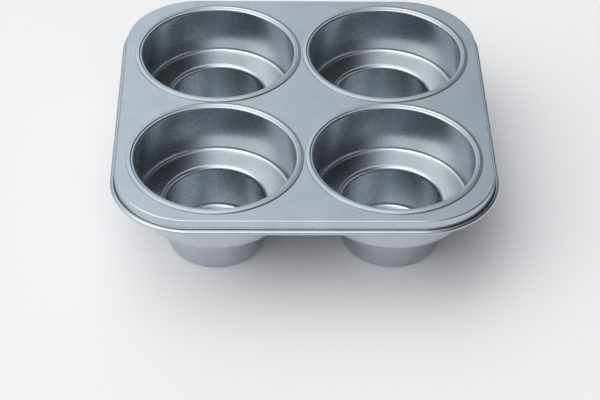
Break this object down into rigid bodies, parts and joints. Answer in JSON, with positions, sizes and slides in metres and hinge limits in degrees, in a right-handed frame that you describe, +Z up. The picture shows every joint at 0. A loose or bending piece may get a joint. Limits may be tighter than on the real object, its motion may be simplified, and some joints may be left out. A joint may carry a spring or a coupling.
{
  "type": "cakelet pan",
  "caption": "Square baking pan with deep round two-tier cups crimped into a flat plate with large rounded corners, a short skirt and a wired rolled rim.",
  "frame": {"origin": "under the middle of the pan, on the surface that the cups stand on", "axes": "+Z up out of the cups' mouths, X and Y along the pan's sides, front of the picture towards -Y"},
  "size_m": [0.2594, 0.2594, 0.0724],
  "materials": {
    "coated_steel": "satin silver bakeware coating on steel sheet",
    "steel_wire": "plain drawn wire"
  },
  "bodies": {
    "root": {"top_plate": "coated_steel", "rim_wire": "steel_wire", "cup_front_left": "coated_steel", "cup_front_right": "coated_steel", "cup_back_left": "coated_steel", "cup_back_right": "coated_steel"}
  },
  "joints": []
}
